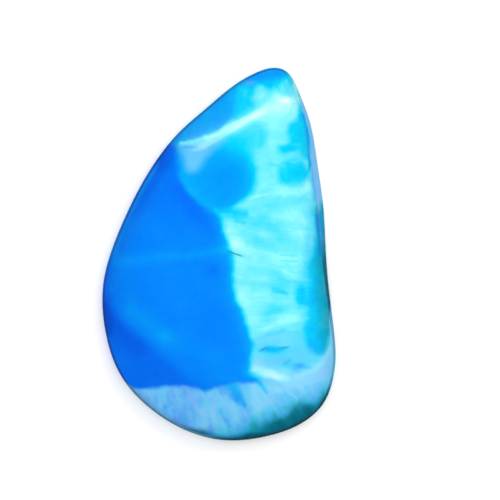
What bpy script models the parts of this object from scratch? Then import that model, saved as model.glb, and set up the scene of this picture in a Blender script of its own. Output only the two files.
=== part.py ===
"""A freeform larimar cabochon: one polished stone with a flat back, a girdle wall and a domed top.

Lengths are in millimetres and become metres when the mesh is made. The stone lies on its flat back
with the dome up (+Z) and its narrow tip towards +Y. The origin is the middle of its underside.
"""

import math

import bmesh
import bpy
import numpy as np

METRES_PER_MM = 0.001

LENGTH = 38.0
THICKNESS = 6.8

# The widest outline, seen from above, clockwise from the tip. The right side is nearly straight, the
# left side is one long bow, and the lower right corner is the tightest turn after the tip.
OUTLINE = [
    (5.5, 19.0),
    (7.05, 18.5),
    (8.35, 16.05),
    (9.35, 13.2),
    (10.1, 8.8),
    (10.65, 4.8),
    (10.9, 0.4),
    (11.3, -4.25),
    (11.9, -9.8),
    (11.7, -12.45),
    (10.75, -15.1),
    (8.3, -17.35),
    (4.4, -18.7),
    (0.1, -18.95),
    (-4.6, -17.4),
    (-8.9, -13.95),
    (-11.1, -9.9),
    (-11.9, -4.4),
    (-11.05, 0.1),
    (-8.7, 5.62),
    (-6.53, 9.36),
    (-4.1, 12.4),
    (-1.3, 14.88),
    (1.4, 17.13),
    (3.65, 18.45),
]
STEPS_PER_SPAN = 5

# The back is flat, and its rim is broken by a small rounded chamfer, so that the edge can't chip.
CHAMFER_HEIGHT = 0.4
CHAMFER_INSET = 0.35
CHAMFER_RINGS = 3

# The girdle wall leans in as it rises, which is what a bezel closes on. It leans furthest on the
# upper right, where it shows from above as a narrow band.
GIRDLE_TOP = 2.1
GIRDLE_LEAN = 0.3
UPPER_RIGHT_EXTRA_LEAN = 0.35
GIRDLE_RINGS = 3

# The dome is a superellipse in section, raised over a crown point a little below the middle. It is
# cut short of its upright edge, so that it meets the girdle at an angle.
CROWN = np.array([0.4, -1.6])
PLAN_POWER = 4.2
RISE_POWER = 0.62
DOME_REACH = 0.95
DOME_RINGS = 26

# The tip is ground to a facet, which falls from a ridge across the dome to the top of the girdle and
# is slightly crowned. The ridge between the two is polished round.
TIP_RIDGE = [(-3.95, 11.1), (-0.3, 12.1), (4.4, 14.7), (7.5, 15.6)]
FACET_POWER = 0.9
RIDGE_SHARPNESS = 22

# The lower left shoulder is a flatter sweep of the wheel. It takes off height in proportion to the
# distance past its line, and blends softly into the dome.
SHOULDER_RIDGE = [(-9.9, -1.5), (0.6, -12.6)]
SHOULDER_SLOPE = 0.34
SHOULDER_ROUNDING = 0.9


def smooth(value, low, high):
    t = np.clip((value - low) / (high - low), 0, 1)
    return t * t * (3 - 2 * t)


def closed_spline(points, steps):
    """The closed cubic spline through the points, with this many samples on each span."""
    points = np.array(points)
    count = len(points)
    span = np.sqrt(np.linalg.norm(np.roll(points, -1, 0) - points, axis=1))
    system = np.zeros((count, count))
    target = np.zeros((count, 2))
    for i in range(count):
        before, after = span[i - 1], span[i]
        ahead = (i + 1) % count
        system[i, i - 1] += before
        system[i, i] += 2 * (before + after)
        system[i, ahead] += after
        target[i] = 6 * (
            (points[ahead] - points[i]) / after - (points[i] - points[i - 1]) / before
        )
    bend = np.linalg.solve(system, target)
    samples = []
    for i in range(count):
        ahead, h = (i + 1) % count, span[i]
        t = np.linspace(0, h, steps, endpoint=False)[:, None]
        samples.append(
            (bend[i] * (h - t) ** 3 + bend[ahead] * t**3) / (6 * h)
            + (points[i] / h - bend[i] * h / 6) * (h - t)
            + (points[ahead] / h - bend[ahead] * h / 6) * t
        )
    return np.vstack(samples)


def stone_outline():
    """The outline at its real length, centred on the origin."""
    outline = closed_spline(OUTLINE, STEPS_PER_SPAN)
    outline -= (outline.max(0) + outline.min(0)) / 2
    return outline * LENGTH / np.ptp(outline[:, 1])


def inward_normals(outline):
    along = np.roll(outline, -1, 0) - np.roll(outline, 1, 0)
    inward = np.stack([along[:, 1], -along[:, 0]], axis=1)
    return inward / np.linalg.norm(inward, axis=1)[:, None]


def at_height(plan, height):
    return np.column_stack([plan, np.broadcast_to(height, len(plan))])


def above_ridge(plan, ridge):
    """Signed distance past a ridge, which is one smooth curve and runs on straight at its ends."""
    xs, ys = np.transpose(ridge)
    curve = np.polyfit(xs, ys, len(ridge) - 1)
    within = np.clip(plan[:, 0], xs[0], xs[-1])
    line = np.polyval(curve, within)
    line += np.polyval(np.polyder(curve), within) * (plan[:, 0] - within)
    return (plan[:, 1] - line) * (xs[-1] - xs[0]) / math.dist(ridge[0], ridge[-1])


def superellipse(share):
    return (1 - share**PLAN_POWER) ** RISE_POWER


def dome_rise(share):
    """The dome's section: 1 at the crown and 0 at the edge."""
    foot = superellipse(DOME_REACH)
    return (superellipse(DOME_REACH * share) - foot) / (1 - foot)


def dome_height(plan, share):
    """Height of the unground dome over the girdle, at this share of the way from crown to edge."""
    beyond = -above_ridge(plan, SHOULDER_RIDGE)
    shoulder = SHOULDER_SLOPE * SHOULDER_ROUNDING * np.logaddexp(0, beyond / SHOULDER_ROUNDING)
    return (THICKNESS - GIRDLE_TOP - shoulder) * dome_rise(share)


def ridge_shares(edge):
    """How far out from crown to edge each spoke meets the tip's ridge, or 1 where it doesn't."""
    shares = np.linspace(0, 1, 201)
    meets = []
    for point in edge:
        beyond = above_ridge(CROWN + shares[:, None] * (point - CROWN), TIP_RIDGE)
        past = np.flatnonzero(beyond > 0)
        if len(past):
            around = slice(past[0] - 1, past[0] + 1)
            meets.append(np.interp(0, beyond[around], shares[around]))
        else:
            meets.append(1)
    return np.array(meets)


def top_height(edge, ridge, share):
    """Height over the girdle, on every spoke at once, of the lower of the dome and the facet."""
    dome = dome_height(CROWN + share * (edge - CROWN), share)
    ridge_height = dome_height(CROWN + ridge[:, None] * (edge - CROWN), ridge)
    facet = np.full(len(edge), np.inf)
    has_facet = ridge < 0.999
    fall = (1 - share) / (1 - ridge[has_facet])
    facet[has_facet] = ridge_height[has_facet] * fall**FACET_POWER
    return (dome**-RIDGE_SHARPNESS + facet**-RIDGE_SHARPNESS) ** (-1 / RIDGE_SHARPNESS)


def stone_rings():
    """Closed rings of points, from the rim of the flat back up to just short of the crown."""
    outline = stone_outline()
    inward = inward_normals(outline)
    rings = []
    for turn in np.linspace(0, math.pi / 2, CHAMFER_RINGS, endpoint=False):
        inset = CHAMFER_INSET * (1 - math.sin(turn))
        height = CHAMFER_HEIGHT * (1 - math.cos(turn))
        rings.append(at_height(outline + inset * inward, height))
    upper_right = np.clip(-inward[:, 0], 0, 1) ** 4 * smooth(outline[:, 1], -6, 6)
    lean = (GIRDLE_LEAN + UPPER_RIGHT_EXTRA_LEAN * upper_right)[:, None]
    for share in np.linspace(0, 1, GIRDLE_RINGS):
        height = CHAMFER_HEIGHT + share * (GIRDLE_TOP - CHAMFER_HEIGHT)
        rings.append(at_height(outline + share * lean * inward, height))
    edge = rings[-1][:, :2]
    ridge = ridge_shares(edge)
    for turn in np.linspace(0, math.pi / 2, DOME_RINGS + 1)[1:-1]:
        share = math.cos(turn) ** (2 / PLAN_POWER)
        plan = CROWN + share * (edge - CROWN)
        rings.append(at_height(plan, GIRDLE_TOP + top_height(edge, ridge, share)))
    return rings


def stone_mesh(name):
    """The closed skin: a flat back, quads between the rings, and a fan at the crown."""
    shape = bmesh.new()
    rings = [
        [shape.verts.new(point * METRES_PER_MM) for point in ring]
        for ring in stone_rings()
    ]
    count = len(rings[0])
    shape.faces.new(rings[0])
    for lower, upper in zip(rings, rings[1:]):
        for i in range(count):
            ahead = (i + 1) % count
            shape.faces.new((lower[i], lower[ahead], upper[ahead], upper[i]))
    top = GIRDLE_TOP + dome_height(CROWN[None], 0)[0]
    crown = shape.verts.new(np.array([*CROWN, top]) * METRES_PER_MM)
    for i in range(count):
        shape.faces.new((rings[-1][i], rings[-1][(i + 1) % count], crown))
    bmesh.ops.recalc_face_normals(shape, faces=shape.faces)
    mesh = bpy.data.meshes.new(name)
    shape.to_mesh(mesh)
    shape.free()
    mesh.shade_smooth()
    mesh.set_sharp_from_angle(angle=math.radians(50))
    return mesh


def polished_stone(name, colour, roughness):
    material = bpy.data.materials.new(name)
    material.use_nodes = True
    shader = material.node_tree.nodes["Principled BSDF"]
    shader.inputs["Base Color"].default_value = (*colour, 1)
    shader.inputs["Roughness"].default_value = roughness
    shader.inputs["Metallic"].default_value = 0
    return material


def main():
    for leftover in list(bpy.data.objects):
        bpy.data.objects.remove(leftover)
    stone = bpy.data.objects.new("cabochon", stone_mesh("cabochon"))
    stone.data.materials.append(
        polished_stone("blue larimar", (0.03, 0.33, 0.85), 0.1)
    )
    bpy.context.scene.collection.objects.link(stone)


main()
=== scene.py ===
"""The finished look of a freeform larimar cabochon: a fine smooth stone with its colours and fibres.

The stone is built in millimetres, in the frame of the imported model, and its mesh is scaled to metres.
"""

import math

import bpy
import numpy as np
from mathutils import Matrix, Vector


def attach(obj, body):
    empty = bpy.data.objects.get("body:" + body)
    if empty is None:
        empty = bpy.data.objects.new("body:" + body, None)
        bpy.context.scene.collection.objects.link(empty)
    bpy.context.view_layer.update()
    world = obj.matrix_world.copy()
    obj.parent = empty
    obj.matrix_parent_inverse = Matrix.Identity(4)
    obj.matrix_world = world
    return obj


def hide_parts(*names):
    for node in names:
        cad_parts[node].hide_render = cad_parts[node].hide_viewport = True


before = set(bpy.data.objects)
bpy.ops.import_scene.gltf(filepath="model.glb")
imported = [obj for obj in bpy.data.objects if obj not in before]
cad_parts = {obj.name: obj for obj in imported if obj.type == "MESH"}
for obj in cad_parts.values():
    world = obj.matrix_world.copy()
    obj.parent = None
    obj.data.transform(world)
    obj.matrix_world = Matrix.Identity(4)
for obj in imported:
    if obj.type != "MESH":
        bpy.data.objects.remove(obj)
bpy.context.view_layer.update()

METRES_PER_MM = 0.001

# The form, in millimetres. These are the same values as the plain solid's.
LENGTH = 38.0
THICKNESS = 6.8
OUTLINE = [
    (5.5, 19.0),
    (7.05, 18.5),
    (8.35, 16.05),
    (9.35, 13.2),
    (10.1, 8.8),
    (10.65, 4.8),
    (10.9, 0.4),
    (11.3, -4.25),
    (11.9, -9.8),
    (11.7, -12.45),
    (10.75, -15.1),
    (8.3, -17.35),
    (4.4, -18.7),
    (0.1, -18.95),
    (-4.6, -17.4),
    (-8.9, -13.95),
    (-11.1, -9.9),
    (-11.9, -4.4),
    (-11.05, 0.1),
    (-8.7, 5.62),
    (-6.53, 9.36),
    (-4.1, 12.4),
    (-1.3, 14.88),
    (1.4, 17.13),
    (3.65, 18.45),
]
CHAMFER_HEIGHT = 0.4
CHAMFER_INSET = 0.35
GIRDLE_TOP = 2.1
GIRDLE_LEAN = 0.3
UPPER_RIGHT_EXTRA_LEAN = 0.35
CROWN = np.array([0.4, -1.6])
PLAN_POWER = 4.2
RISE_POWER = 0.62
DOME_REACH = 0.95
TIP_RIDGE = [(-3.95, 11.1), (-0.3, 12.1), (4.4, 14.7), (7.5, 15.6)]
FACET_POWER = 0.9
RIDGE_SHARPNESS = 22
SHOULDER_RIDGE = [(-9.9, -1.5), (0.6, -12.6)]
SHOULDER_SLOPE = 0.34
SHOULDER_ROUNDING = 0.9

# How fine the mesh is: the distance between its points on the top, the wall and the back.
STEPS_PER_SPAN = 60
TOP_SPACING = 0.115
WALL_SPACING = 0.14
BACK_SPACING = 0.3
CHAMFER_RINGS = 5
MEAN_RADIUS = 13.0
POLISH_DEPTH = 0.02

# The colours run down through the stone at this slant: sideways millimetres for each one of depth.
SLANT = np.array([0.35, -0.2])

# The pigments, as sRGB. The tone runs from deep blue to white.
TONES = [
    (0.00, (0, 65, 185)),
    (0.15, (0, 97, 238)),
    (0.30, (0, 120, 252)),
    (0.45, (0, 145, 255)),
    (0.60, (0, 175, 253)),
    (0.72, (0, 212, 250)),
    (0.82, (72, 223, 251)),
    (0.92, (113, 235, 252)),
    (1.00, (148, 248, 254)),
    (1.15, (200, 255, 255)),
    (1.30, (252, 255, 255)),
]
TOP_TONE = 1.3
MILK = (150, 192, 255)
TEAL = (0, 95, 115)
PIGMENT_LEVEL = 0.9


def smooth(value, low, high):
    t = np.clip((value - low) / (high - low), 0, 1)
    return t * t * (3 - 2 * t)


def closed_spline(points, steps):
    """The closed cubic spline through the points, with this many samples on each span."""
    points = np.array(points, float)
    count = len(points)
    span = np.sqrt(np.linalg.norm(np.roll(points, -1, 0) - points, axis=1))
    system = np.zeros((count, count))
    target = np.zeros((count, 2))
    for i in range(count):
        before, after = span[i - 1], span[i]
        ahead = (i + 1) % count
        system[i, i - 1] += before
        system[i, i] += 2 * (before + after)
        system[i, ahead] += after
        target[i] = 6 * (
            (points[ahead] - points[i]) / after - (points[i] - points[i - 1]) / before
        )
    bend = np.linalg.solve(system, target)
    samples = []
    for i in range(count):
        ahead, h = (i + 1) % count, span[i]
        t = np.linspace(0, h, steps, endpoint=False)[:, None]
        samples.append(
            (bend[i] * (h - t) ** 3 + bend[ahead] * t**3) / (6 * h)
            + (points[i] / h - bend[i] * h / 6) * (h - t)
            + (points[ahead] / h - bend[ahead] * h / 6) * t
        )
    return np.vstack(samples)


def stone_outline():
    """The outline at its real length, centred on the origin."""
    outline = closed_spline(OUTLINE, STEPS_PER_SPAN)
    outline -= (outline.max(0) + outline.min(0)) / 2
    return outline * LENGTH / np.ptp(outline[:, 1])


def inward_normals(outline):
    along = np.roll(outline, -1, 0) - np.roll(outline, 1, 0)
    inward = np.stack([along[:, 1], -along[:, 0]], axis=1)
    return inward / np.linalg.norm(inward, axis=1)[:, None]


def above_ridge(plan, ridge):
    """Signed distance past a ridge, which is one smooth curve and runs on straight at its ends."""
    xs, ys = np.transpose(ridge)
    curve = np.polyfit(xs, ys, len(ridge) - 1)
    within = np.clip(plan[:, 0], xs[0], xs[-1])
    line = np.polyval(curve, within)
    line += np.polyval(np.polyder(curve), within) * (plan[:, 0] - within)
    return (plan[:, 1] - line) * (xs[-1] - xs[0]) / math.dist(ridge[0], ridge[-1])


def superellipse(share):
    return (1 - share**PLAN_POWER) ** RISE_POWER


def dome_rise(share):
    """The dome's section: 1 at the crown and 0 at the edge."""
    foot = superellipse(DOME_REACH)
    return (superellipse(DOME_REACH * share) - foot) / (1 - foot)


def dome_height(plan, share):
    """Height of the unground dome over the girdle, at this share of the way from crown to edge."""
    beyond = -above_ridge(plan, SHOULDER_RIDGE)
    shoulder = SHOULDER_SLOPE * SHOULDER_ROUNDING * np.logaddexp(0, beyond / SHOULDER_ROUNDING)
    return (THICKNESS - GIRDLE_TOP - shoulder) * dome_rise(share)


def ridge_shares(edge):
    """How far out from crown to edge each spoke meets the tip's ridge, or 1 where it doesn't."""
    shares = np.linspace(0, 1, 201)
    meets = []
    for point in edge:
        beyond = above_ridge(CROWN + shares[:, None] * (point - CROWN), TIP_RIDGE)
        past = np.flatnonzero(beyond > 0)
        if len(past):
            around = slice(past[0] - 1, past[0] + 1)
            meets.append(np.interp(0, beyond[around], shares[around]))
        else:
            meets.append(1)
    return np.array(meets)


def top_height(edge, ridge, share):
    """Height over the girdle, on every spoke at once, of the lower of the dome and the facet."""
    dome = dome_height(CROWN + share * (edge - CROWN), share)
    ridge_height = dome_height(CROWN + ridge[:, None] * (edge - CROWN), ridge)
    facet = np.full(len(edge), np.inf)
    has_facet = ridge < 0.999
    fall = (1 - share) / (1 - ridge[has_facet])
    facet[has_facet] = ridge_height[has_facet] * fall**FACET_POWER
    return (dome**-RIDGE_SHARPNESS + facet**-RIDGE_SHARPNESS) ** (-1 / RIDGE_SHARPNESS)


def around(curve, count, stagger):
    """This many points at even distances round a closed curve, and how far round each one is."""
    closed = np.vstack([curve, curve[:1]])
    steps = np.linalg.norm(np.diff(closed, axis=0), axis=1)
    travelled = np.concatenate([[0], np.cumsum(steps)])
    share = (np.arange(count) + stagger) / count
    points = [np.interp(share * travelled[-1], travelled, column) for column in closed.T]
    return np.stack(points, axis=1), share


def perimeter(curve):
    return np.linalg.norm(np.roll(curve, -1, 0) - curve, axis=1).sum()


def even_shares():
    """Shares of the way out from the crown, at even distances up the dome from girdle to crown."""
    shares = np.cos(np.linspace(0, math.pi / 2, 4000)) ** (2 / PLAN_POWER)
    rise = (THICKNESS - GIRDLE_TOP) * dome_rise(shares)
    steps = np.hypot(MEAN_RADIUS * np.diff(shares), np.diff(rise))
    travelled = np.concatenate([[0], np.cumsum(steps)])
    even = np.linspace(0, travelled[-1], round(travelled[-1] / TOP_SPACING))
    return np.interp(even, travelled, shares)[1:-1]


def stone_levels():
    """Closed level curves with the spacing of each, from the middle of the back up to the crown."""
    outline = stone_outline()
    inward = inward_normals(outline)
    middle = outline.mean(0)
    levels = []

    def level(plan, height, spacing):
        height = np.broadcast_to(height, len(plan))
        levels.append((np.column_stack([plan, height]), spacing))

    rim = outline + CHAMFER_INSET * inward
    for share in np.arange(BACK_SPACING, MEAN_RADIUS, BACK_SPACING) / MEAN_RADIUS:
        level(middle + share * (rim - middle), 0, BACK_SPACING)
    for turn in np.linspace(0, math.pi / 2, CHAMFER_RINGS, endpoint=False):
        inset = CHAMFER_INSET * (1 - math.sin(turn))
        level(outline + inset * inward, CHAMFER_HEIGHT * (1 - math.cos(turn)), WALL_SPACING)
    upper_right = np.clip(-inward[:, 0], 0, 1) ** 4 * smooth(outline[:, 1], -6, 6)
    lean = (GIRDLE_LEAN + UPPER_RIGHT_EXTRA_LEAN * upper_right)[:, None]
    wall = GIRDLE_TOP - CHAMFER_HEIGHT
    for share in np.linspace(0, 1, round(wall / WALL_SPACING) + 1):
        level(outline + share * lean * inward, CHAMFER_HEIGHT + share * wall, TOP_SPACING)
    edge = outline + lean * inward
    ridge = ridge_shares(edge)
    for share in even_shares():
        plan = CROWN + share * (edge - CROWN)
        level(plan, GIRDLE_TOP + top_height(edge, ridge, share), TOP_SPACING)
    return levels


def stitch(lower, lower_share, upper, upper_share):
    """Triangles between two rings of points that needn't have the same number of points."""
    faces = []
    i = j = 0
    n, m = len(lower), len(upper)
    while i < n or j < m:
        next_lower = lower_share[i + 1] if i + 1 < n else 1 + lower_share[0] if i < n else 9
        next_upper = upper_share[j + 1] if j + 1 < m else 1 + upper_share[0] if j < m else 9
        a, b = lower[i % n], upper[j % m]
        if next_lower < next_upper:
            i += 1
            faces.append((a, b, lower[i % n]))
        else:
            j += 1
            faces.append((a, b, upper[j % m]))
    return faces


def stone_skin():
    """Every point of the stone's closed skin, in millimetres, and its triangles."""
    points = [np.zeros((1, 3))]
    total = 1
    faces = []
    last = None
    for number, (curve, spacing) in enumerate(stone_levels()):
        count = max(8, round(perimeter(curve) / spacing))
        ring, share = around(curve, count, 0.5 * (number % 2))
        ids = range(total, total + count)
        total += count
        points.append(ring)
        if last is None:
            points[0][:, :2] = ring[:, :2].mean(0)
            faces += [(0, ids[i], ids[(i + 1) % count]) for i in range(count)]
        else:
            faces += stitch(*last, ids, share)
        last = ids, share
    top = GIRDLE_TOP + dome_height(CROWN[None], 0)[0]
    points.append(np.array([[*CROWN, top]]))
    ids = last[0]
    faces += [(ids[i], total, ids[(i + 1) % len(ids)]) for i in range(len(ids))]
    return np.vstack(points), faces


def surface_normals(points, faces):
    corners = points[np.array(faces)]
    facing = np.cross(corners[:, 1] - corners[:, 0], corners[:, 2] - corners[:, 0])
    normals = np.zeros_like(points)
    for corner in range(3):
        np.add.at(normals, np.array(faces)[:, corner], facing)
    return normals / np.linalg.norm(normals, axis=1)[:, None]


def hand_polish(points):
    """A faint, slow unevenness that a hand-held wheel leaves, from 0 to 1. It is none on the back."""
    waves = [
        ((0.55, 0.32, 0.4), 0.7),
        ((-0.38, 0.61, 0.2), 2.1),
        ((0.93, -0.27, 0.5), 4.0),
        ((0.21, 0.88, -0.6), 5.2),
    ]
    total = sum(np.sin(points @ np.array(wave) + phase) for wave, phase in waves)
    return (0.5 + total / (2 * len(waves))) * smooth(points[:, 2], 0.2, 1.5)


def signed_distance(x, y, outline):
    """Distance from a closed outline, positive inside it."""
    nearest = np.full(x.shape, 1e9)
    inside = np.zeros(x.shape, bool)
    for (x0, y0), (x1, y1) in zip(outline, np.roll(outline, -1, 0)):
        run = (x1 - x0) ** 2 + (y1 - y0) ** 2
        t = np.clip(((x - x0) * (x1 - x0) + (y - y0) * (y1 - y0)) / run, 0, 1)
        off = np.hypot(x - x0 - t * (x1 - x0), y - y0 - t * (y1 - y0))
        nearest = np.minimum(nearest, off)
        if y0 != y1:
            inside ^= ((y0 > y) != (y1 > y)) & (x < (x1 - x0) * (y - y0) / (y1 - y0) + x0)
    return np.where(inside, nearest, -nearest)


def lattice(seed, size=97):
    """Smooth random heights from -0.5 to 0.5 over a plane, one unit apart, the same for each seed."""
    table = np.random.default_rng(seed).random((size, size)) - 0.5

    def height(u, v):
        i, j = np.floor(u).astype(int), np.floor(v).astype(int)
        s, t = smooth(u - i, 0, 1), smooth(v - j, 0, 1)
        i, j = i % size, j % size
        ahead, above = (i + 1) % size, (j + 1) % size
        lower = table[i, j] * (1 - s) + table[ahead, j] * s
        upper = table[i, above] * (1 - s) + table[ahead, above] * s
        return lower * (1 - t) + upper * t

    return height


class Paint:
    """The pigments at a set of points: tone from deep blue to white, milky lavender, and teal."""

    def __init__(self, x, y):
        self.x, self.y = x, y
        self.tone = np.zeros_like(x)
        self.milk = np.zeros_like(x)
        self.teal = np.zeros_like(x)
        self.rays = np.zeros_like(x)
        self.tufts = np.zeros_like(x)
        self.curds = np.zeros_like(x)

    def lay(self, mask, tone=None, milk=None, teal=None):
        """Covers what is there with these values, where the mask is 1."""
        if tone is not None:
            self.tone += mask * (tone - self.tone)
        if milk is not None:
            self.milk += mask * (milk - self.milk)
        if teal is not None:
            self.teal += mask * (teal - self.teal)

    def add(self, mask, tone=0, milk=0, teal=0):
        self.tone += mask * tone
        self.milk += mask * milk
        self.teal += mask * teal

    def spot(self, x, y, long, wide=None, turn=0, hard=1):
        """A soft oval patch: 1 in the middle, fading out past its two radii."""
        wide = wide or long
        a = math.radians(turn)
        u = (self.x - x) * math.cos(a) + (self.y - y) * math.sin(a)
        v = (self.y - y) * math.cos(a) - (self.x - x) * math.sin(a)
        return np.exp(-(((u / long) ** 2 + (v / wide) ** 2) ** hard))

    def streak(self, points, width, end_width=None):
        """A soft line through the points, tapering from one width to the other."""
        end_width = width if end_width is None else end_width
        points = np.array(points, float)
        runs = np.linalg.norm(np.diff(points, axis=0), axis=1)
        mask = np.zeros_like(self.x)
        done = 0
        for (x0, y0), (x1, y1), run in zip(points, points[1:], runs):
            t = ((self.x - x0) * (x1 - x0) + (self.y - y0) * (y1 - y0)) / run**2
            t = np.clip(t, 0, 1)
            off = np.hypot(self.x - x0 - t * (x1 - x0), self.y - y0 - t * (y1 - y0))
            here = width + (end_width - width) * (done + t * run) / runs.sum()
            mask = np.maximum(mask, np.exp(-((off / here) ** 2)))
            done += run
        return mask

    def depth_in(self, outline):
        """Distance inside the smooth closed curve through these points."""
        return signed_distance(self.x, self.y, closed_spline(outline, 5))

    def inside(self, outline, blur, ragged=0):
        """1 inside the smooth closed curve and 0 outside, changing over about this distance."""
        return smooth(self.depth_in(outline) + ragged, -blur / 2, blur / 2)


HEART = [
    (-4.7, 12.6), (-4.05, 11.2), (-4.0, 9.3), (-3.55, 7.1), (-2.5, 5.75), (-0.7, 4.45), (0.15, 3.6),
    (0.5, 1.9), (1.05, 0.2), (1.35, -1.5), (1.4, -3.7), (2.1, -5.5), (3.0, -7.5), (3.15, -9.2),
    (3.0, -11.0), (2.95, -11.9), (4.2, -12.7), (3.4, -13.1), (0.9, -13.2), (-0.3, -13.8),
    (-2.2, -13.6), (-3.8, -13.3), (-6.2, -13.6), (-9.0, -13.9), (-14, -12), (-15, 0), (-11, 11),
    (-6, 14.5),
]
CELL = [
    (-4.0, 9.3), (-3.55, 7.2), (-2.4, 5.8), (-0.7, 4.7), (0.9, 4.7), (2.3, 5.3), (3.4, 6.5),
    (3.8, 8.2), (3.7, 9.9), (3.95, 11.4), (3.8, 12.5), (1.0, 12.2), (-1.5, 11.6), (-3.9, 11.3),
]
# The corner below the ridge where the painted soft reflection of the light lies.
REFLECTION_TRIANGLE = [
    (-4.1, 11.35), (-2, 11.75), (0.6, 11.7), (-0.2, 10.9), (-1.2, 9.9), (-2.2, 8.5), (-3.0, 8.45),
    (-3.7, 10.2),
]
BEVEL = [
    (-5.5, 11.3), (-3.8, 11.25), (-0.3, 12.2), (2.5, 13.6), (4.4, 14.7), (6.0, 15.6), (8.6, 15.7),
    (9.5, 18), (6, 20.5), (0, 18),
]
BAND = [
    (-10.5, -14.3), (-8.2, -13.85), (-6.2, -13.65), (-4.6, -13.35), (-3.3, -13.3), (-2.4, -13.5),
    (-1.5, -13.85), (-0.8, -13.8), (0.2, -13.35), (1.2, -13.1), (2.2, -13.0), (3.3, -12.95),
    (4.1, -12.6), (5.0, -12.5), (6.5, -13.0), (9, -13.2), (11.3, -12.8), (14, -13), (13, -20),
    (0, -22), (-11, -19),
]
TEAL_SIDE = [
    (9.9, 4.6), (9.75, 3.9), (9.85, 2.5), (9.75, 1.3), (9.5, 0.1), (9.15, -0.6), (8.95, -2.4),
    (8.9, -3.8), (8.9, -4.8), (9.0, -6.1), (8.65, -7.2), (8.6, -8.3), (9.0, -9.4), (9.9, -10.1),
    (10.8, -9.7), (11.25, -8.2), (13, -7), (13, 3), (10.4, 5.0),
]
TEAL_BASE = [
    (-1.8, -18.9), (0.5, -18.3), (2.2, -17.6), (3.3, -17.0), (4.4, -16.6), (5.5, -16.3),
    (6.5, -16.0), (7.5, -15.4), (8.4, -14.9), (9.4, -14.75), (10.4, -14.2), (12.2, -13.4),
    (13, -18), (6, -22), (-1, -21),
]
UPPER_POOL = [
    (6.9, 13.15), (7.6, 13.5), (7.9, 14.0), (8.2, 15.0), (9.1, 14.6), (9.6, 11.3), (9.5, 10.0),
    (8.7, 9.7), (7.9, 10.3), (6.2, 10.2), (6.0, 10.8), (6.9, 11.2), (7.0, 12.0),
]
LOWER_POOL = [
    (6.2, 9.2), (7.4, 9.7), (8.3, 9.7), (9.1, 8.8), (9.1, 7.7), (8.3, 7.05), (7.0, 6.95),
    (6.1, 7.2), (5.9, 8.2),
]
AZURE_EDGE = [
    (8.8, 14.0), (9.1, 14.0), (9.4, 13.0), (9.8, 11.0), (10.0, 9.0), (9.9, 8.2), (9.4, 8.2),
    (9.2, 9.0), (9.0, 10.2), (8.85, 12.0), (8.75, 13.2),
]


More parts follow.
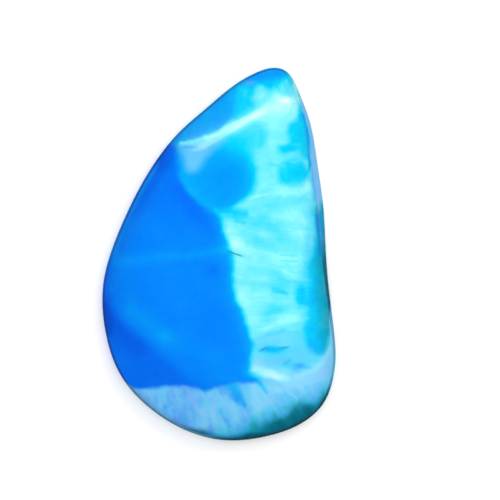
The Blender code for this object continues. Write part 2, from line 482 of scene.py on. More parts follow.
def paint_pale_side(p):
    """The pale turquoise side: brighter and darker patches, rays that spread to the right, and a painted
    lavender reflection along the right rim.
    """
    p.lay(1, tone=0.93, milk=0, teal=0)
    p.lay(p.spot(5.9, 14.1, 2.4, 1.1, 12, 1.5), tone=0.99)
    p.lay(p.spot(5.6, 14.85, 2.3, 0.6, 12), tone=1.13)
    p.lay(p.spot(4.4, 11.8, 0.9, 1.4), tone=0.88)
    p.lay(p.spot(5.4, 11.2, 0.5, 1.3), tone=0.95)
    p.lay(p.spot(5.0, 8.6, 0.8, 1.6), tone=0.9)
    p.lay(p.inside(UPPER_POOL, 0.8, 0.2 * p.rays), tone=0.725)
    p.lay(p.inside(LOWER_POOL, 0.9, 0.2 * p.rays), tone=0.73)
    p.lay(p.spot(8.3, 13.8, 0.3, 0.9), tone=0.68)
    p.lay(p.spot(7.9, 11.9, 0.4, 0.9), tone=0.71)
    p.lay(p.spot(8.1, 8.2, 0.8, 0.4), tone=0.70)
    p.lay(p.streak([(6.4, 10.65), (7.4, 10.65)], 0.2), tone=0.70)
    p.lay(p.streak([(5.1, 8.95), (6.6, 8.9)], 0.15), tone=0.82)
    p.lay(p.streak([(6.4, 9.95), (7.7, 9.95), (8.7, 9.45), (9.3, 8.7)], 0.17, 0.1), tone=0.86)
    p.lay(p.streak([(7.2, 9.3), (8.2, 9.5)], 0.12), tone=0.82)
    p.lay(p.inside(AZURE_EDGE, 0.4), tone=0.56, milk=0.05)
    # Painted reflection: a lavender line along the right rim.
    p.lay(p.streak([(9.75, 8.0), (9.85, 6.9), (9.9, 5.6)], 0.35), tone=0.56, milk=0.4)
    p.lay(p.streak([(9.2, 7.5), (9.55, 8.7), (9.85, 9.9)], 0.14), tone=0.8, milk=0.3)

    p.lay(p.streak([(4.2, 6.7), (6.0, 6.5), (8.0, 6.3)], 0.35), tone=0.95)
    ray = [(1.2, 4.9), (3.4, 5.75), (5.5, 6.1), (8.2, 6.2), (9.1, 7.0)]
    p.lay(p.streak(ray, 0.2, 0.45), tone=1.0)
    p.lay(p.streak([(3.3, 4.9), (6.0, 5.0), (8.9, 5.4)], 0.4), tone=0.89)
    p.lay(p.streak([(5.3, 3.9), (7.0, 3.45), (9.4, 3.35)], 0.2, 0.42), tone=0.965)
    p.lay(p.streak([(1.0, 4.0), (2.6, 3.5), (4.6, 3.1), (6.2, 2.0)], 0.6, 0.9), tone=0.84)
    p.lay(p.spot(4.2, 1.2, 1.3, 0.6, -10), tone=0.86)
    p.lay(p.streak([(1.2, 2.9), (1.4, 1.8), (1.9, 0.9)], 0.4, 0.7), tone=0.97)
    p.lay(p.spot(1.9, 1.0, 0.55, 0.6), tone=1.05)
    p.lay(p.streak([(0.2, 4.3), (1.6, 4.1), (2.7, 4.05)], 0.6, 0.35), tone=0.68)
    p.lay(p.streak([(1.7, 3.3), (2.6, 3.15)], 0.15), tone=0.76)
    p.lay(p.streak([(2.6, 0.3), (5.5, -0.2), (8.4, -0.9)], 0.5, 0.8), tone=0.98)
    p.lay(p.spot(6.2, 1.7, 0.6, 0.25, -25), tone=0.83)
    p.lay(p.spot(8.3, 2.4, 1.3, 0.9), tone=0.98)
    p.lay(p.streak([(7.6, 2.6), (9.0, 2.6)], 0.12), tone=0.92)
    p.lay(p.streak([(6.3, -0.1), (8.0, -0.1)], 0.1), tone=0.89)
    p.lay(p.streak([(6.4, -0.65), (7.9, -0.7)], 0.1), tone=0.89)

    left_border = [(1.9, -0.6), (2.3, -2.5), (2.4, -4.2), (2.9, -5.7), (3.6, -6.8)]
    p.lay(p.streak(left_border, 0.6), tone=0.955)
    p.lay(p.spot(6.1, -3.2, 1.3, 1.5, 20, 1.5), tone=0.83)
    p.lay(p.spot(5.4, -5.9, 1.3, 0.8, 30, 1.3), tone=0.85)
    p.lay(p.streak([(6.6, -1.7), (7.6, -2.3), (8.7, -2.6)], 0.25), tone=0.97)
    p.lay(p.streak([(6.1, -2.5), (7.1, -2.9)], 0.2, 0.1), tone=0.8)
    p.lay(p.streak([(5.6, -3.55), (6.4, -3.75), (7.0, -4.1)], 0.26, 0.12), tone=0.75)
    p.lay(p.streak([(5.9, -3.7), (6.8, -4.05)], 0.15, 0.12), tone=0.75, teal=0.08)
    p.lay(p.streak([(4.6, -7.6), (6.2, -6.9), (8.2, -6.2)], 0.4, 0.5), tone=0.97)
    p.lay(p.streak([(9.1, 1.6), (9.1, -0.3), (8.8, -2.6)], 0.35, 0.3), tone=0.84, milk=0.2)
    p.lay(p.spot(8.2, -3.0, 0.8, 0.4, -10), tone=0.8, milk=0.1)
    p.lay(p.inside(TEAL_SIDE, 2.0, 0.5 + 0.3 * p.rays), tone=0.77, milk=0.1)


def paint_lower_pale(p):
    """The milky foot of the pale side, with a few small blue eyes in it, and a painted highlight along the
    lower right edge of the top.
    """
    p.lay(p.spot(5.8, -8.7, 3.0, 1.0, 8, 1.5), tone=0.8, milk=0.27)
    p.lay(p.streak([(4.9, -8.2), (6.6, -7.8)], 0.12), tone=0.76, milk=0.2)
    p.lay(p.spot(8.2, -10.1, 1.8, 1.0), tone=0.78, milk=0.3)
    p.lay(p.spot(4.8, -10.9, 1.7, 0.9, 0, 1.5), tone=0.78, milk=0.42)
    p.lay(p.spot(4.0, -11.3, 0.7, 0.7), tone=0.88, milk=0.5)
    p.lay(p.spot(6.5, -10.6, 1.8, 0.55, -5), tone=0.69, milk=0.33)
    p.lay(p.spot(7.9, -11.1, 1.2, 0.5, -5), tone=0.71, milk=0.33)
    p.lay(p.spot(5.6, -9.75, 1.4, 0.42, 2), tone=0.7, milk=0.12)
    p.lay(p.streak([(4.1, -9.75), (4.9, -9.5), (6.5, -9.45), (7.1, -9.3)], 0.16, 0.12), tone=0.66)
    p.lay(p.spot(5.6, -9.6, 1.05, 0.3, 2, 2), tone=0.645, milk=0)
    p.lay(p.streak([(4.2, -9.7), (4.7, -9.48), (5.1, -9.45)], 0.1), tone=0.64, teal=0.15)
    p.lay(p.streak([(6.1, -9.42), (6.7, -9.3)], 0.12, 0.1), tone=0.64, teal=0.2)
    p.lay(p.streak([(6.6, -11.0), (7.3, -10.65)], 0.17, 0.1), tone=0.62, milk=0.2, teal=0.08)
    p.lay(p.streak([(7.0, -11.2), (7.7, -10.9)], 0.12, 0.1), tone=0.66, milk=0.25)
    p.lay(p.spot(8.15, -11.25, 0.6, 0.3, -8, 1.2), tone=0.58, milk=0.1)
    p.lay(p.streak([(7.6, -11.55), (8.6, -11.45), (9.5, -11.5)], 0.2, 0.1), tone=0.64, milk=0.25)
    p.lay(p.spot(7.0, -12.1, 3.2, 0.45, -4, 1.5), tone=0.9, milk=0.45)
    p.lay(p.spot(8.2, -11.85, 0.7, 0.25), tone=0.74, milk=0.45)
    p.lay(p.streak([(3.5, -11.6), (5.2, -12.0), (6.9, -12.6)], 0.45, 0.5), tone=1.04, milk=0.2)
    p.lay(p.spot(6.0, -12.4, 1.2, 0.4, -12), tone=1.17, milk=0.15)
    p.lay(p.spot(8.9, -12.7, 2.0, 0.8, 5, 1.5), tone=0.96, milk=0.58)
    p.lay(p.spot(10.7, -12.0, 0.9, 1.2), tone=0.9, milk=0.7)
    # Painted highlight: a pale curved line where the top turns down to the lower right side.
    painted_edge_highlight = [(11.3, -9.6), (10.5, -11.0), (9.3, -11.8), (7.9, -12.3)]
    p.lay(p.streak(painted_edge_highlight, 0.3, 0.35), tone=1.0, milk=0.4)


def paint_heart(p):
    """The big azure zone on the left, with a paler seam across it. Painted shade darkens its upper left
    shoulder and its left and lower left edges, a painted reflection runs as a thin pale line along the
    upper left rim, and a paler band on the lower left shoulder is partly painted light.
    """
    shared = [(-4.1, 11.4), (-4.0, 9.3), (-3.55, 7.15), (-2.45, 5.75), (-1.0, 4.75)]
    p.lay(p.streak(shared, 0.45), tone=0.55, milk=0)
    depth = p.depth_in(HEART)
    t = Paint(p.x, p.y)
    t.lay(1, tone=0.375)
    right_side = smooth(p.x, -2.5, 0) * smooth(p.y, -13.2, -12.2)
    t.add(np.exp(-np.clip(depth, 0, 9) / 0.8) * right_side, tone=0.2)
    t.add(t.spot(-4, 6.5, 3.0, 3.0), tone=-0.06)
    # Painted shade: the upper left shoulder, which slopes away from the light, is darker.
    t.add(t.spot(-5.4, 10.2, 1.0, 1.7, -30), tone=-0.17)
    t.add(t.streak([(-5.9, 8.9), (-7.2, 6.6), (-8.6, 4.2)], 0.8), tone=-0.10)
    t.add(t.streak([(-3.6, 6.4), (-2.4, 4.6), (-0.6, 2.4)], 1.2, 0.8), tone=-0.09)
    t.add(t.streak([(-10.2, -0.7), (-6.0, -0.3), (-3.5, -0.1), (0.5, 0.4)], 0.6, 0.5), tone=0.09)
    t.add(t.spot(-9.9, 0.8, 0.35, 0.8), tone=-0.06)
    t.add(t.spot(-0.5, -1.5, 1.0, 0.8), tone=-0.09)
    # Paler band along the lower left shoulder: partly the stone's own tone, partly painted light on the
    # shoulder.
    t.add(t.streak([(-8.8, -5.6), (-7.2, -7.0), (-5.4, -8.4)], 1.1), tone=0.10)
    t.add(t.streak([(-5.4, -8.4), (-3.0, -9.6), (-0.2, -10.8)], 1.0), tone=0.05)
    t.add(t.spot(0.5, -6.5, 1.6, 3.2), tone=-0.03)
    # Painted shade: darker towards the lower left and left edges, where the dome turns away from the
    # light.
    t.add(smooth(-(p.x * 0.66 + p.y * 0.75), 10.6, 12.2), tone=-0.12)
    t.add(t.streak([(-11.2, -5.0), (-10.2, -7.4), (-8.2, -9.6)], 1.1), tone=-0.10)
    t.add(t.streak([(-11.5, -1.6), (-11.6, -5.0), (-11.2, -8.0)], 0.6), tone=-0.12)
    # Painted reflection: a thin pale line along the upper left rim.
    t.lay(t.streak([(-6.3, 9.3), (-7.7, 6.9), (-9.7, 3.0), (-10.8, 0.2)], 0.3), tone=0.5)
    p.lay(smooth(depth + 0.3 * p.rays, -0.6, 0.25), tone=t.tone, milk=0, teal=0)


def paint_cell(p):
    """The rounded cell of clear azure near the tip, with a pale lavender triangle in its corner below the
    ridge, which is a painted soft reflection of the light.
    """
    depth = p.depth_in(CELL)
    rim = np.clip(depth, 0, 9)
    t = Paint(p.x, p.y)
    t.lay(1, tone=0.58)
    t.lay(smooth(p.y + 0.5 * p.x, 9.0, 12.2), tone=0.715)
    t.lay(t.spot(0.3, 6.9, 3.0, 3.0, 0, 1.5), tone=0.49)
    t.add(np.exp(-rim / 0.7) * smooth(p.x, 0.5, 3), tone=0.12)
    t.add(np.exp(-rim / 0.9) * smooth(-p.x, -1.5, 1) * smooth(-p.y, -9, -7), tone=0.05)
    upper = smooth(depth, -1.4, 0.1) * smooth(p.x, -1.2, 0.6) * smooth(p.y, 10.0, 11.2)
    p.lay(upper, tone=0.74)
    p.lay(smooth(depth, -0.7, 0.35), tone=t.tone, milk=0, teal=0)
    # Painted reflection: a pale lavender triangle below the ridge, with a paler line along the ridge, in
    # place of a soft reflection of the light.
    corner = p.inside(REFLECTION_TRIANGLE, 1.3)
    p.lay(corner, tone=0.68, milk=0.36)
    p.lay(corner * p.streak([(-3.6, 11.2), (-1.6, 11.5), (0.3, 11.9)], 0.35), tone=0.86, milk=0.3)
    p.lay(corner * p.streak([(-3.6, 10.8), (-2.2, 10.8)], 0.16), tone=0.58, milk=0.25)
    p.lay(p.spot(-2.7, 9.4, 0.7, 0.6) * corner, milk=0.45)


def paint_tip(p):
    """The ground tip beyond the ridge: azure, then cyan, then pale, with a blue end. Along the ridge lie a
    pale streak that is partly a vein and partly a painted highlight, a soft glow above it that is partly a
    painted highlight, and a painted white highlight at its right end.
    """
    t = Paint(p.x, p.y)
    t.lay(1, tone=0.53)
    t.lay(smooth(p.x + 0.25 * (p.y - 15), 0.2, 3.0), tone=0.70)
    t.lay(smooth(p.x, 3.2, 4.0), tone=0.86)
    t.lay(t.spot(4.3, 15.9, 0.5, 1.0), tone=0.92)
    t.lay(t.spot(5.6, 15.9, 1.6, 0.4), tone=0.95)
    t.lay(t.spot(5.5, 17.1, 1.0, 0.5, 0, 1.3), tone=0.71)
    t.lay(smooth(p.x, 6.9, 7.3) * smooth(-p.y, -17.4, -16.6), tone=0.88)
    t.lay(smooth(p.x, 6.9, 7.2) * smooth(p.y, 16.7, 17.3), tone=0.76)
    t.lay(t.streak([(6.5, 17.5), (6.6, 16.2)], 0.25), tone=0.87)
    end = [
        (0, 16.6), (2.4, 17.3), (4.0, 17.3), (5.4, 17.5), (6.6, 17.7), (7.6, 19.0), (5, 21), (0, 19),
    ]
    t.lay(t.inside(end, 1.3, 0.15 * p.tufts), tone=0.5)
    t.lay(t.spot(3.2, 17.42, 0.5, 0.17, 10, 1.2), tone=0.56, milk=0.22)
    p.lay(p.inside(BEVEL, 0.5), tone=t.tone, milk=t.milk, teal=0)
    # Soft pale glow just above the ridge: partly the stone's pale tone, partly a painted glow of the
    # ridge's highlight.
    off = above_ridge(np.column_stack([p.x, p.y]), TIP_RIDGE)
    painted_ridge_glow = smooth(off, -0.1, 0.1) * np.exp(-np.clip(off, 0, 9) / 0.5) * smooth(p.x, -4.4, -2.5)
    p.lay(painted_ridge_glow, tone=0.72 + 0.25 * smooth(p.x, -2, 3), milk=0.4 * smooth(-p.x, -3, 1))
    # Pale streak along the ridge: partly a pale vein, partly a painted highlight.
    left = [(-3.9, 11.2), (-2.6, 11.35), (-1.2, 11.75)]
    p.lay(p.streak(left, 0.16, 0.3), tone=0.95, milk=0.1)
    ridge = [(-1.2, 11.75), (-0.3, 12.1), (1.2, 12.75), (2.6, 13.5), (4.1, 14.4), (5.2, 15.1), (6.1, 15.6)]
    p.lay(p.streak(ridge, 0.26, 0.45), tone=1.02, milk=0)
    # Painted highlight at the ridge's right end: a pale streak and a white spot.
    p.lay(p.streak([(6.1, 15.6), (7.6, 15.5)], 0.4), tone=1.03, milk=0)
    p.lay(p.spot(6.7, 15.55, 0.7, 0.3), tone=1.25)
    p.lay(p.spot(8.1, 15.4, 0.6, 0.6), tone=0.98, milk=0)
    p.lay(p.spot(2.2, 12.8, 1.3, 0.35, 28), tone=0.95)


def paint_bottom_band(p):
    """The milky lavender foot, with blue gaps and paler tufts that hang down in it, and painted shade
    along its bottom rim.
    """
    depth = p.depth_in(BAND) + 0.2 * p.tufts + 0.1 * p.curds
    t = Paint(p.x, p.y)
    t.lay(1, tone=0.67, milk=0.49)
    t.lay(t.spot(6.8, -13.1, 3.6, 1.0), tone=0.88, milk=0.52)
    t.lay(t.spot(-7.8, -14.6, 1.2, 0.5, -35), milk=0.66, teal=0.12)
    t.add(t.spot(-4.9, -15.7, 1.3, 0.9, -30), tone=-0.06, milk=-0.07)
    t.add(t.spot(-3.5, -16.7, 0.6, 0.8, 20), tone=-0.1, milk=-0.2, teal=0.08)
    t.add(t.streak([(-2.5, -16.5), (-2.4, -17.3)], 0.2), tone=-0.05, milk=-0.1)
    t.add(t.spot(-5.6, -15.4, 0.14), tone=-0.2, milk=-0.2)
    t.lay(t.spot(-1.6, -15.0, 0.8, 1.4), tone=0.76, milk=0.56)
    t.lay(t.streak([(-1.5, -15.9), (-1.5, -17.7)], 0.4), tone=0.84, milk=0.6)
    t.lay(t.streak([(-0.5, -15.4), (-0.4, -17.0)], 0.5), tone=0.79, milk=0.6)
    t.add(t.streak([(0.2, -15.8), (0.7, -16.6), (1.1, -17.4)], 0.3, 0.2), tone=-0.12, milk=-0.2)
    t.lay(t.streak([(0.3, -14.6), (1.3, -15.4), (1.7, -16.6)], 0.45), tone=0.82, milk=0.55)
    t.lay(t.streak([(1.2, -12.6), (1.45, -13.6), (1.8, -14.7)], 0.8, 0.35), tone=0.58, milk=0.08)
    t.lay(t.spot(5.0, -14.7, 1.2, 0.9), tone=0.83, milk=0.52)
    t.lay(t.streak([(3.6, -13.9), (3.9, -14.6), (4.3, -15.4)], 0.45, 0.5), tone=0.93, milk=0.55)
    t.lay(t.spot(5.2, -15.9, 1.6, 0.5, 10), tone=0.68, milk=0.4)
    t.lay(t.streak([(3.3, -12.5), (4.2, -13.1), (4.9, -14.0)], 0.5, 0.16), tone=0.58, milk=0.12)
    t.lay(t.spot(6.0, -13.6, 0.9, 0.5), tone=0.97, milk=0.5)
    t.lay(t.spot(7.0, -14.9, 0.8, 0.7), tone=0.66, milk=0.45)
    t.lay(t.streak([(7.1, -14.0), (7.8, -14.5), (7.85, -15.2)], 0.1), tone=0.9, milk=0.45)
    t.add(p.tufts, tone=0.15, milk=0.03)
    t.add(p.curds, tone=0.12)
    gap = t.streak([(0.7, -12.9), (1.7, -13.5), (2.1, -14.3), (2.7, -15.3)], 0.75, 0.3)
    t.lay(0.95 * gap, tone=0.57, milk=0.02)
    t.lay(t.streak([(3.5, -13.2), (3.5, -14.8), (3.9, -15.9)], 0.35, 0.5), tone=0.87, milk=0.52)
    # Painted shade: darker and greener along the bottom rim, where the dome turns away from the light.
    t.add(smooth(-p.y, 17.2, 18.4) * smooth(p.x, -5, -2), tone=-0.12, teal=0.4)
    p.lay(smooth(depth, -0.35, 0.3), tone=t.tone, milk=t.milk, teal=t.teal)
    p.lay(p.spot(11.2, -11.6, 0.5, 1.4, 5), tone=0.8, milk=0.65)


def paint_teal(p):
    """The greener patches along the right side and the lower right corner, with painted shade darkening
    the lower rim and painted reflections as pale lines along the right rim.
    """
    p.lay(p.spot(8.35, -4.1, 0.75, 1.2, 0, 1.6), tone=0.665, milk=0)
    side = p.inside(TEAL_SIDE, 0.9, 0.2 * p.rays)
    across = p.x + 0.07 * p.y
    p.lay(side, tone=0.68 + 0.07 * smooth(across, 9.4, 10.6), milk=0, teal=0)
    p.lay(side * smooth(across, 8.7, 10.6), teal=0.5)
    p.lay(side * p.spot(9.7, -9.6, 1.0, 0.8), tone=0.66, teal=0.05)
    # Painted reflection: a thin pale line along the lower right rim.
    p.lay(p.streak([(11.3, -6.4), (11.45, -8.6), (11.4, -10.2)], 0.12), tone=0.95, teal=0, milk=0.5)
    p.lay(p.streak([(9.95, 3.9), (10.1, 2.8), (10.2, 1.4), (10.25, 0.0)], 0.2), tone=0.52, teal=0.22)
    # Painted reflection: a lavender line along the upper right rim.
    p.lay(p.streak([(9.85, 7.0), (10.2, 5.2), (10.25, 4.2)], 0.3, 0.2), tone=0.62, milk=0.6)
    depth = p.depth_in(TEAL_BASE) + 0.7 * p.curds + 0.12 * p.tufts
    base = smooth(depth, -1.2, 0.7)
    p.lay(base, tone=0.73 + 0.12 * p.curds, milk=0.12)
    p.lay(smooth(depth, 0.0, 1.2), milk=0)
    green = (0.88 + 0.15 * p.tufts) * smooth(p.x + 0.6 * p.curds, 0.0, 5.5)
    p.lay(base, teal=green * smooth(depth, -1.0, 1.0))
    # Deepest teal towards the lower right rim: partly the stone's teal, partly painted shade.
    p.lay(smooth(depth, 0.9, 2.2) * smooth(p.x, 2, 4), teal=1.0)
    # Painted shade: darker and more teal along the lower left and bottom rim, most near the bottom.
    rim = 1 - smooth(signed_distance(p.x, p.y, stone_outline()), 0.2, 1.0)
    rim *= smooth(-p.y, 13.2, 14.4) * (1 - smooth(p.x, 3, 5))
    p.add(rim, tone=-0.1, teal=0.2 + 0.55 * smooth(-p.y, 16.5, 18.2))


def paint_wall(p, down):
    """The girdle wall's streaks: lavender on the upper right, partly a painted reflection of the pale
    floor; very pale at the tip, partly a painted highlight; greyer below; and painted shade on the wall at
    the foot on the left.
    """
    inset = signed_distance(p.x, p.y, stone_outline())
    wall = smooth(down, -0.05, 0.2) * (1 - smooth(inset, 0.7, 2.2 + 1.2 * p.curds))
    foot = smooth(down, 0.7, 1.0)
    right = wall * smooth(p.x, 7.5, 9.0)
    y = p.y - 0.7 * np.clip(down - 0.3, 0, 2) + 1.2 * p.curds
    upper = smooth(y, 3.2, 4.8) * (1 - smooth(y, 9.0, 11.0) * (1 - foot))
    # Lavender upper right wall: partly the stone's own colour, partly a painted reflection of the pale
    # floor.
    p.lay(right * upper * (1 - smooth(y, 14.5, 16)), tone=0.76 + 0.1 * p.curds, milk=0.7, teal=0)
    p.lay(right * p.streak([(10.2, 3.6), (10.7, 0.5)], 0.6), tone=0.5, milk=0.3, teal=0.1)
    # Very pale wall at the tip: partly the stone's pale colour, partly a painted highlight where the
    # wall's rounding catches the light.
    p.lay(right * smooth(y, 14, 16), tone=1.12 - 0.2 * smooth(y, 16.0, 17.0), milk=0.15, teal=0)
    p.lay(right * smooth(-y, -2.0, 1.5) * smooth(y, -8, -6), tone=0.7, milk=0.1, teal=0.85)
    p.lay(right * smooth(-y, 5.5, 8.0) * smooth(y, -13, -11), tone=0.8, milk=0.7, teal=0)
    # Painted shade: the wall at the foot on the left is greyer.
    painted_shade_foot = wall * smooth(-p.y, 13.0, 14.2) * smooth(-p.x, -1.0, 1.5)
    p.lay(painted_shade_foot, tone=0.8, milk=0.7, teal=0.3)


# Hairline fissures: the points of each, its half width in millimetres, and how dark it is.
FISSURES = [
    ([(0.65, 0.42), (1.6, 0.08), (2.7, -0.26)], 0.085, 0.7),
    ([(4.15, -9.75), (4.75, -9.5), (5.1, -9.45)], 0.07, 0.3),
    ([(6.2, -9.4), (7.15, -9.25)], 0.07, 0.35),
]


def fissures(x, y):
    """At each point: the distance to one side of the nearest fissure, and how dark that one is."""
    side = np.full(x.shape, 1.0)
    dark = np.zeros(x.shape)
    nearest = np.full(x.shape, 0.35)
    for points, half_width, strength in FISSURES:
        length = sum(math.dist(a, b) for a, b in zip(points, points[1:]))
        done = 0
        for (x0, y0), (x1, y1) in zip(points, points[1:]):
            run = math.dist((x0, y0), (x1, y1))
            t = ((x - x0) * (x1 - x0) + (y - y0) * (y1 - y0)) / run**2
            across = ((y - y0) * (x1 - x0) - (x - x0) * (y1 - y0)) / run
            off = np.hypot(across, np.abs(t - np.clip(t, 0, 1)) * run)
            here = off < nearest
            share = (done + t * run) / length
            depth = strength * smooth(1 - np.abs(2 * share - 1), 0, 0.6)
            side = np.where(here, across / half_width, side)
            dark = np.where(here, depth * (1 - smooth(off, 0.2, 0.34)), dark)
            nearest = np.minimum(off, nearest)
            done += run
    return side, dark


# Fibres start on a root line and lean by an angle, in degrees, that changes along it.
PALE_ROOT_X = 1.5
PALE_LEAN = ([-12.5, -9.8, -8.2, -4.7, -2.1, 0.4, 3.0, 5.0, 7.0], [-20, 8, 6, 0, -8, -12, -3, 8, 14])
BAND_ROOT_Y = -13.3
BAND_LEAN = ([-9, -3, 0, 3, 6, 9], [-10, 14, 20, 26, 31, 34])


def fan(side, run, lean):
    """Which fibre of a fan each point is on, given by where that fibre starts on its root line."""
    start = side.copy()
    for _ in range(20):
        here = start + run * np.tan(np.radians(np.interp(start, *lean)))
        start += 0.35 * (side - here)
    return start


def paint_stone(points):
    """The pigments, fibres and fissures at every point of the skin, as named arrays."""
    x, y = (points[:, :2] + SLANT * depth_below_top(points)[:, None]).T
    drift = lattice(3)
    x = x + 0.2 * drift(x / 1.3, y / 1.3) + 0.1 * drift(x / 0.5 + 40, y / 0.5)
    y = y + 0.2 * drift(x / 1.3 + 20, y / 1.3) + 0.1 * drift(x / 0.5 + 60, y / 0.5)
    p = Paint(x, y)
    pale_fan = fan(y, x - PALE_ROOT_X, PALE_LEAN)
    band_fan = fan(x, BAND_ROOT_Y - y, BAND_LEAN)
    strands = lattice(5)
    p.rays = strands(pale_fan / 0.5, x / 3.0)
    p.tufts = strands(band_fan / 0.4 + 50, y / 2.0)
    p.curds = drift(x / 0.7 + 10, y / 0.7 + 30)
    for layer in (
        paint_pale_side,
        paint_lower_pale,
        paint_heart,
        paint_cell,
        paint_tip,
        paint_bottom_band,
        paint_teal,
    ):
        layer(p)
    paint_wall(p, GIRDLE_TOP - points[:, 2])
    in_heart = p.inside(HEART, 0.4)
    in_band = p.inside(BAND, 0.6)
    in_cell = p.inside(CELL, 0.4)
    in_tip = p.inside(BEVEL, 0.5)
    across = np.where(in_band > 0.5, 40 + band_fan, pale_fan)
    along = np.where(in_band > 0.5, y, x)
    across = np.where(in_heart > 0.5, 80 + y - 0.12 * x, across)
    across = np.where(in_tip > 0.5, 120 + x + 0.15 * y, across)
    along = np.where(in_tip > 0.5, y, along)
    silk = 1 - 0.5 * smooth(y, 6, 8)
    silk = np.where(in_tip > 0.5, 0.8, silk)
    silk = silk * (1 - 0.8 * np.clip(in_heart + in_cell, 0, 1))
    silk = silk * (1 - 0.6 * p.inside(TEAL_BASE, 1.0))
    crack_side, crack_dark = fissures(x, y)
    return {
        "tone": p.tone,
        "milk": p.milk,
        "teal": p.teal,
        "silk": silk,
        "fluff": in_band * np.clip(2 * p.milk, 0, 1),
        "worn": ridge_wear(x, y),
        "crack_side": crack_side,
        "crack_dark": crack_dark,
        "fibre": np.column_stack([across, along, points[:, 2]]),
    }


def ridge_wear(x, y):
    """How worn the polish is: most on the crest of the tip's ridge."""
    off = above_ridge(np.column_stack([x, y]), TIP_RIDGE)
    reach = np.where(off > 0, 0.25, 0.7)
    return np.exp(-((off / reach) ** 2)) * smooth(x, -5, -3)


def depth_below_top(points):
    """How deep each point lies under the domed top: nothing on the top itself."""
    reach = signed_distance(points[:, 0], points[:, 1], stone_outline()[::20])
    share = np.clip(1 - reach / MEAN_RADIUS, 0, 1)
    dome = (THICKNESS - GIRDLE_TOP) * dome_rise(share)
    on_top = points[:, 2] > GIRDLE_TOP
    return np.where(on_top, 0, GIRDLE_TOP + dome - points[:, 2])


def linear(colour):
    """An sRGB colour from 0 to 255 as the linear values that the shader takes."""
    c = np.array(colour) / 255
    return np.where(c <= 0.04045, c / 12.92, ((c + 0.055) / 1.055) ** 2.4)


def pigment(colour):
    return (*(PIGMENT_LEVEL * linear(colour)), 1)


class Graph:
    """A short way to add nodes to a tree and wire them as they are made."""

    def __init__(self, tree):
        self.tree = tree

    def put(self, socket, value):
        if isinstance(value, bpy.types.NodeSocket):
            self.tree.links.new(value, socket)
        else:
            socket.default_value = value

    def node(self, kind, inputs=(), **settings):
        made = self.tree.nodes.new(kind)
        for name, value in settings.items():
            setattr(made, name, value)
        for socket, value in dict(inputs).items():
            self.put(made.inputs[socket], value)
        return made

    def math(self, operation, *values):
        made = self.node("ShaderNodeMath", operation=operation)
        for socket, value in zip(made.inputs, values):
            self.put(socket, value)
        return made.outputs[0]

    def attribute(self, name, output="Fac"):
        made = self.node("ShaderNodeAttribute", attribute_name=name)
        return made.outputs[output]

    def noise(self, vector, scale, detail=2.0, roughness=0.5, distortion=0.0):
        inputs = {
            "Vector": vector,
            "Scale": scale,
            "Detail": detail,
            "Roughness": roughness,
            "Distortion": distortion,
        }
        return self.node("ShaderNodeTexNoise", inputs).outputs["Fac"]

    def stretched(self, vector, scale):
        inputs = {0: vector, 1: scale}
        return self.node("ShaderNodeVectorMath", inputs, operation="MULTIPLY").outputs[0]

    def remap(self, value, low, high, to_low=0.0, to_high=1.0):
        made = self.node(
            "ShaderNodeMapRange",
            {0: value, 1: low, 2: high, 3: to_low, 4: to_high},
            interpolation_type="SMOOTHSTEP",
        )
        return made.outputs[0]

    def swing(self, value, amount):
        """A noise, which lies round 0.5, as a change of this much to either side of nothing."""
        return self.math("MULTIPLY", self.math("SUBTRACT", value, 0.5), 2 * amount)

    def mix(self, factor, first, second):
        made = self.tree.nodes.new("ShaderNodeMix")
        made.data_type = "RGBA"
        self.put(made.inputs[0], factor)
        self.put(made.inputs[6], first)
        self.put(made.inputs[7], second)
        return made.outputs[2]


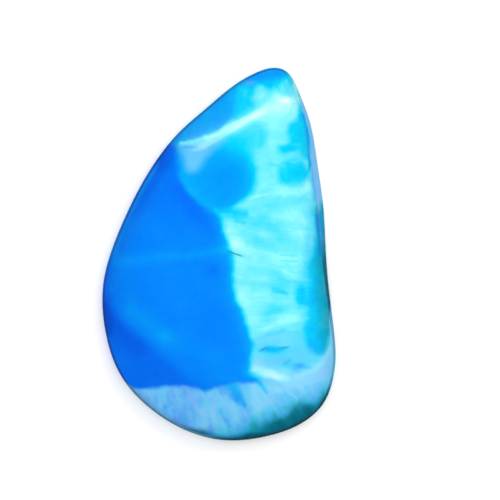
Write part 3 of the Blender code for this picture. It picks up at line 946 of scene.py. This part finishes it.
def larimar_material():
    material = bpy.data.materials.new("larimar")
    material.use_nodes = True
    g = Graph(material.node_tree)
    shader = material.node_tree.nodes["Principled BSDF"]

    place = g.node("ShaderNodeTexCoord").outputs["Object"]
    in_mm = g.stretched(place, (1000, 1000, 1000))
    fibre = g.attribute("fibre", "Vector")
    silk = g.attribute("silk")
    fluff = g.attribute("fluff")

    broad = g.noise(g.stretched(fibre, (0.9, 0.25, 0.4)), 1.0, 2.0)
    fine = g.noise(g.stretched(fibre, (2.6, 0.5, 1.2)), 1.0, 2.0, 0.5, 0.3)
    hair = g.noise(g.stretched(fibre, (8.0, 0.9, 4.0)), 1.0, 2.0)
    clouds = g.noise(in_mm, 0.35, 3.0)
    curds = g.noise(in_mm, 1.5, 4.0, 0.6)
    grain = g.noise(in_mm, 9.0, 2.0)

    fibres = g.math("ADD", g.swing(broad, 0.10), g.swing(fine, 0.05))
    fibres = g.math("ADD", fibres, g.swing(hair, 0.012))
    tone = g.math("ADD", g.attribute("tone"), g.math("MULTIPLY", fibres, silk))
    tone = g.math("ADD", tone, g.swing(clouds, 0.04))
    tone = g.math("ADD", tone, g.swing(curds, 0.04))
    tone = g.math("ADD", tone, g.swing(grain, 0.015))
    ramp = g.node("ShaderNodeValToRGB", {0: g.math("DIVIDE", tone, TOP_TONE)})
    stops = ramp.color_ramp.elements
    while len(stops) < len(TONES):
        stops.new(0.5)
    for stop, (at, colour) in zip(stops, TONES):
        stop.position = at / TOP_TONE
        stop.color = pigment(colour)

    milk_fibres = g.math("MULTIPLY", g.math("ADD", g.swing(fine, 0.2), g.swing(curds, 0.35)), fluff)
    milk = g.math("ADD", g.attribute("milk"), milk_fibres)
    milk = g.node("ShaderNodeClamp", {0: milk}).outputs[0]
    colour = g.mix(milk, ramp.outputs[0], pigment(MILK))
    colour = g.mix(g.attribute("teal"), colour, pigment(TEAL))

    near_crack = g.math("ABSOLUTE", g.attribute("crack_side"))
    crack = g.math("MULTIPLY", g.remap(near_crack, 1.6, 0.4), g.attribute("crack_dark"))
    colour = g.mix(crack, colour, pigment((0, 110, 150)))
    g.put(shader.inputs["Base Color"], colour)

    roughness = g.math("ADD", g.math("MULTIPLY", silk, 0.05), 0.07)
    roughness = g.math("ADD", roughness, g.swing(clouds, 0.04))
    roughness = g.math("ADD", roughness, g.swing(curds, 0.03))
    roughness = g.math("ADD", roughness, g.math("MULTIPLY", g.attribute("worn"), 0.2))
    roughness = g.math("ADD", roughness, g.math("MULTIPLY", crack, 0.4))
    g.put(shader.inputs["Roughness"], g.node("ShaderNodeClamp", {0: roughness}).outputs[0])

    relief = g.math("ADD", g.swing(hair, 0.0006), g.swing(grain, 0.0004))
    relief = g.math("SUBTRACT", relief, g.math("MULTIPLY", crack, 0.01))
    relief = g.math("MULTIPLY", relief, METRES_PER_MM)
    bump = g.node("ShaderNodeBump", {"Height": relief, "Distance": 1.0, "Strength": 1.0})
    g.put(shader.inputs["Normal"], bump.outputs[0])

    shader.inputs["IOR"].default_value = 1.6
    return material


def make_stone():
    points, faces = stone_skin()
    fields = paint_stone(points)
    normals = surface_normals(points, faces)
    points = points - POLISH_DEPTH * hand_polish(points)[:, None] * normals
    mesh = bpy.data.meshes.new("polished_stone")
    mesh.from_pydata((points * METRES_PER_MM).tolist(), [], faces)
    for name, values in fields.items():
        flat = values.ravel().astype(np.float32)
        if values.ndim == 1:
            mesh.attributes.new(name, "FLOAT", "POINT").data.foreach_set("value", flat)
        else:
            mesh.attributes.new(name, "FLOAT_VECTOR", "POINT").data.foreach_set("vector", flat)
    mesh.shade_smooth()
    mesh.materials.append(larimar_material())
    stone = bpy.data.objects.new("polished_stone", mesh)
    bpy.context.scene.collection.objects.link(stone)
    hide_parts("cabochon")
    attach(stone, "root")
    print("stone:", len(points), "points,", len(faces), "triangles")
    return stone


# The camera looks straight down from far off. The middle of its view is right of the stone's middle.
VIEW_MIDDLE = (3.16, 0.42)
VIEW_WIDTH = 51.0
LENS = 300.0
SENSOR = 36.0
RIM_HEIGHT = 0.4


def make_camera():
    data = bpy.data.cameras.new("camera")
    data.lens = LENS
    data.sensor_width = SENSOR
    data.clip_start = 0.01
    data.clip_end = 20
    camera = bpy.data.objects.new("camera", data)
    distance = VIEW_WIDTH / SENSOR * LENS
    camera.location = np.array([*VIEW_MIDDLE, RIM_HEIGHT + distance]) * METRES_PER_MM
    bpy.context.scene.collection.objects.link(camera)
    bpy.context.scene.camera = camera


FLOOR_RADIUS = 3000.0
FLOOR_INSET = 0.5
FLOOR_STEP = 10


def make_floor():
    """A white floor. It is open under the flat back, so that the back shows from below."""
    outline = stone_outline()[::FLOOR_STEP]
    hole = outline + FLOOR_INSET * inward_normals(outline)
    rim = FLOOR_RADIUS * hole / np.linalg.norm(hole, axis=1)[:, None]
    count = len(hole)
    corners = np.column_stack([np.vstack([hole, rim]), np.zeros(2 * count)]) * METRES_PER_MM
    faces = [(i, (i + 1) % count, count + (i + 1) % count, count + i) for i in range(count)]
    data = bpy.data.meshes.new("floor")
    data.from_pydata(corners.tolist(), [], faces)
    floor = bpy.data.objects.new("floor", data)
    floor.visible_glossy = False
    material = bpy.data.materials.new("white_paper")
    material.use_nodes = True
    shader = material.node_tree.nodes["Principled BSDF"]
    shader.inputs["Base Color"].default_value = (0.95, 0.95, 0.95, 1)
    shader.inputs["Roughness"].default_value = 0.9
    shader.inputs["Specular IOR Level"].default_value = 0.0
    data.materials.append(material)
    bpy.context.scene.collection.objects.link(floor)


# The white room round the stone: what it adds to the diffuse light, and how bright its reflection is.
FILL_LEVEL = 0.59
REFLECTED_LEVEL = 0.02


def direction(azimuth, zenith):
    a, z = math.radians(azimuth), math.radians(zenith)
    return Vector((math.cos(a) * math.sin(z), math.sin(a) * math.sin(z), math.cos(z)))


def soft_light(name, start, end, width, distance, radiance):
    """A softbox aimed at the stone, as long as from one direction to the other, in degrees."""
    start, end = direction(*start) * distance, direction(*end) * distance
    middle = ((start + end) / 2).normalized()
    along = (end - start).normalized()
    data = bpy.data.lights.new(name, "AREA")
    data.shape = "RECTANGLE"
    data.size = (end - start).length
    data.size_y = width
    data.energy = radiance * math.pi * data.size * data.size_y
    light = bpy.data.objects.new(name, data)
    axes = Matrix((along, middle.cross(along), middle)).transposed().to_4x4()
    axes.translation = middle * distance
    light.matrix_world = axes
    bpy.context.scene.collection.objects.link(light)
    return light


def make_light():
    overhead = soft_light("overhead", (0, 26.6), (180, 26.6), 1.2, 1.34, 2.2)
    side = soft_light("side_light", (5, 62), (110, 62), 0.5, 1.2, 2.15)
    for light in (overhead, side):
        light.visible_glossy = False
        light.data.cycles.use_multiple_importance_sampling = False
    low = soft_light("low_ridge_light", (127, 86), (125, 66), 0.05, 0.6, 6)
    high = soft_light("high_ridge_light", (125, 66), (88, 53), 0.07, 0.6, 15)
    low.visible_diffuse = high.visible_diffuse = False
    world = bpy.data.worlds.new("studio")
    world.use_nodes = True
    world.cycles.sampling_method = "NONE"
    g = Graph(world.node_tree)
    ray = g.node("ShaderNodeLightPath").outputs
    strength = g.math("MULTIPLY_ADD", ray["Is Diffuse Ray"], FILL_LEVEL, REFLECTED_LEVEL)
    strength = g.math("ADD", strength, ray["Is Camera Ray"])
    background = world.node_tree.nodes["Background"]
    background.inputs["Color"].default_value = (1, 1, 1, 1)
    g.put(background.inputs["Strength"], strength)
    bpy.context.scene.world = world


make_camera()
make_floor()
make_light()
make_stone()
bpy.context.scene.view_settings.view_transform = "Standard"
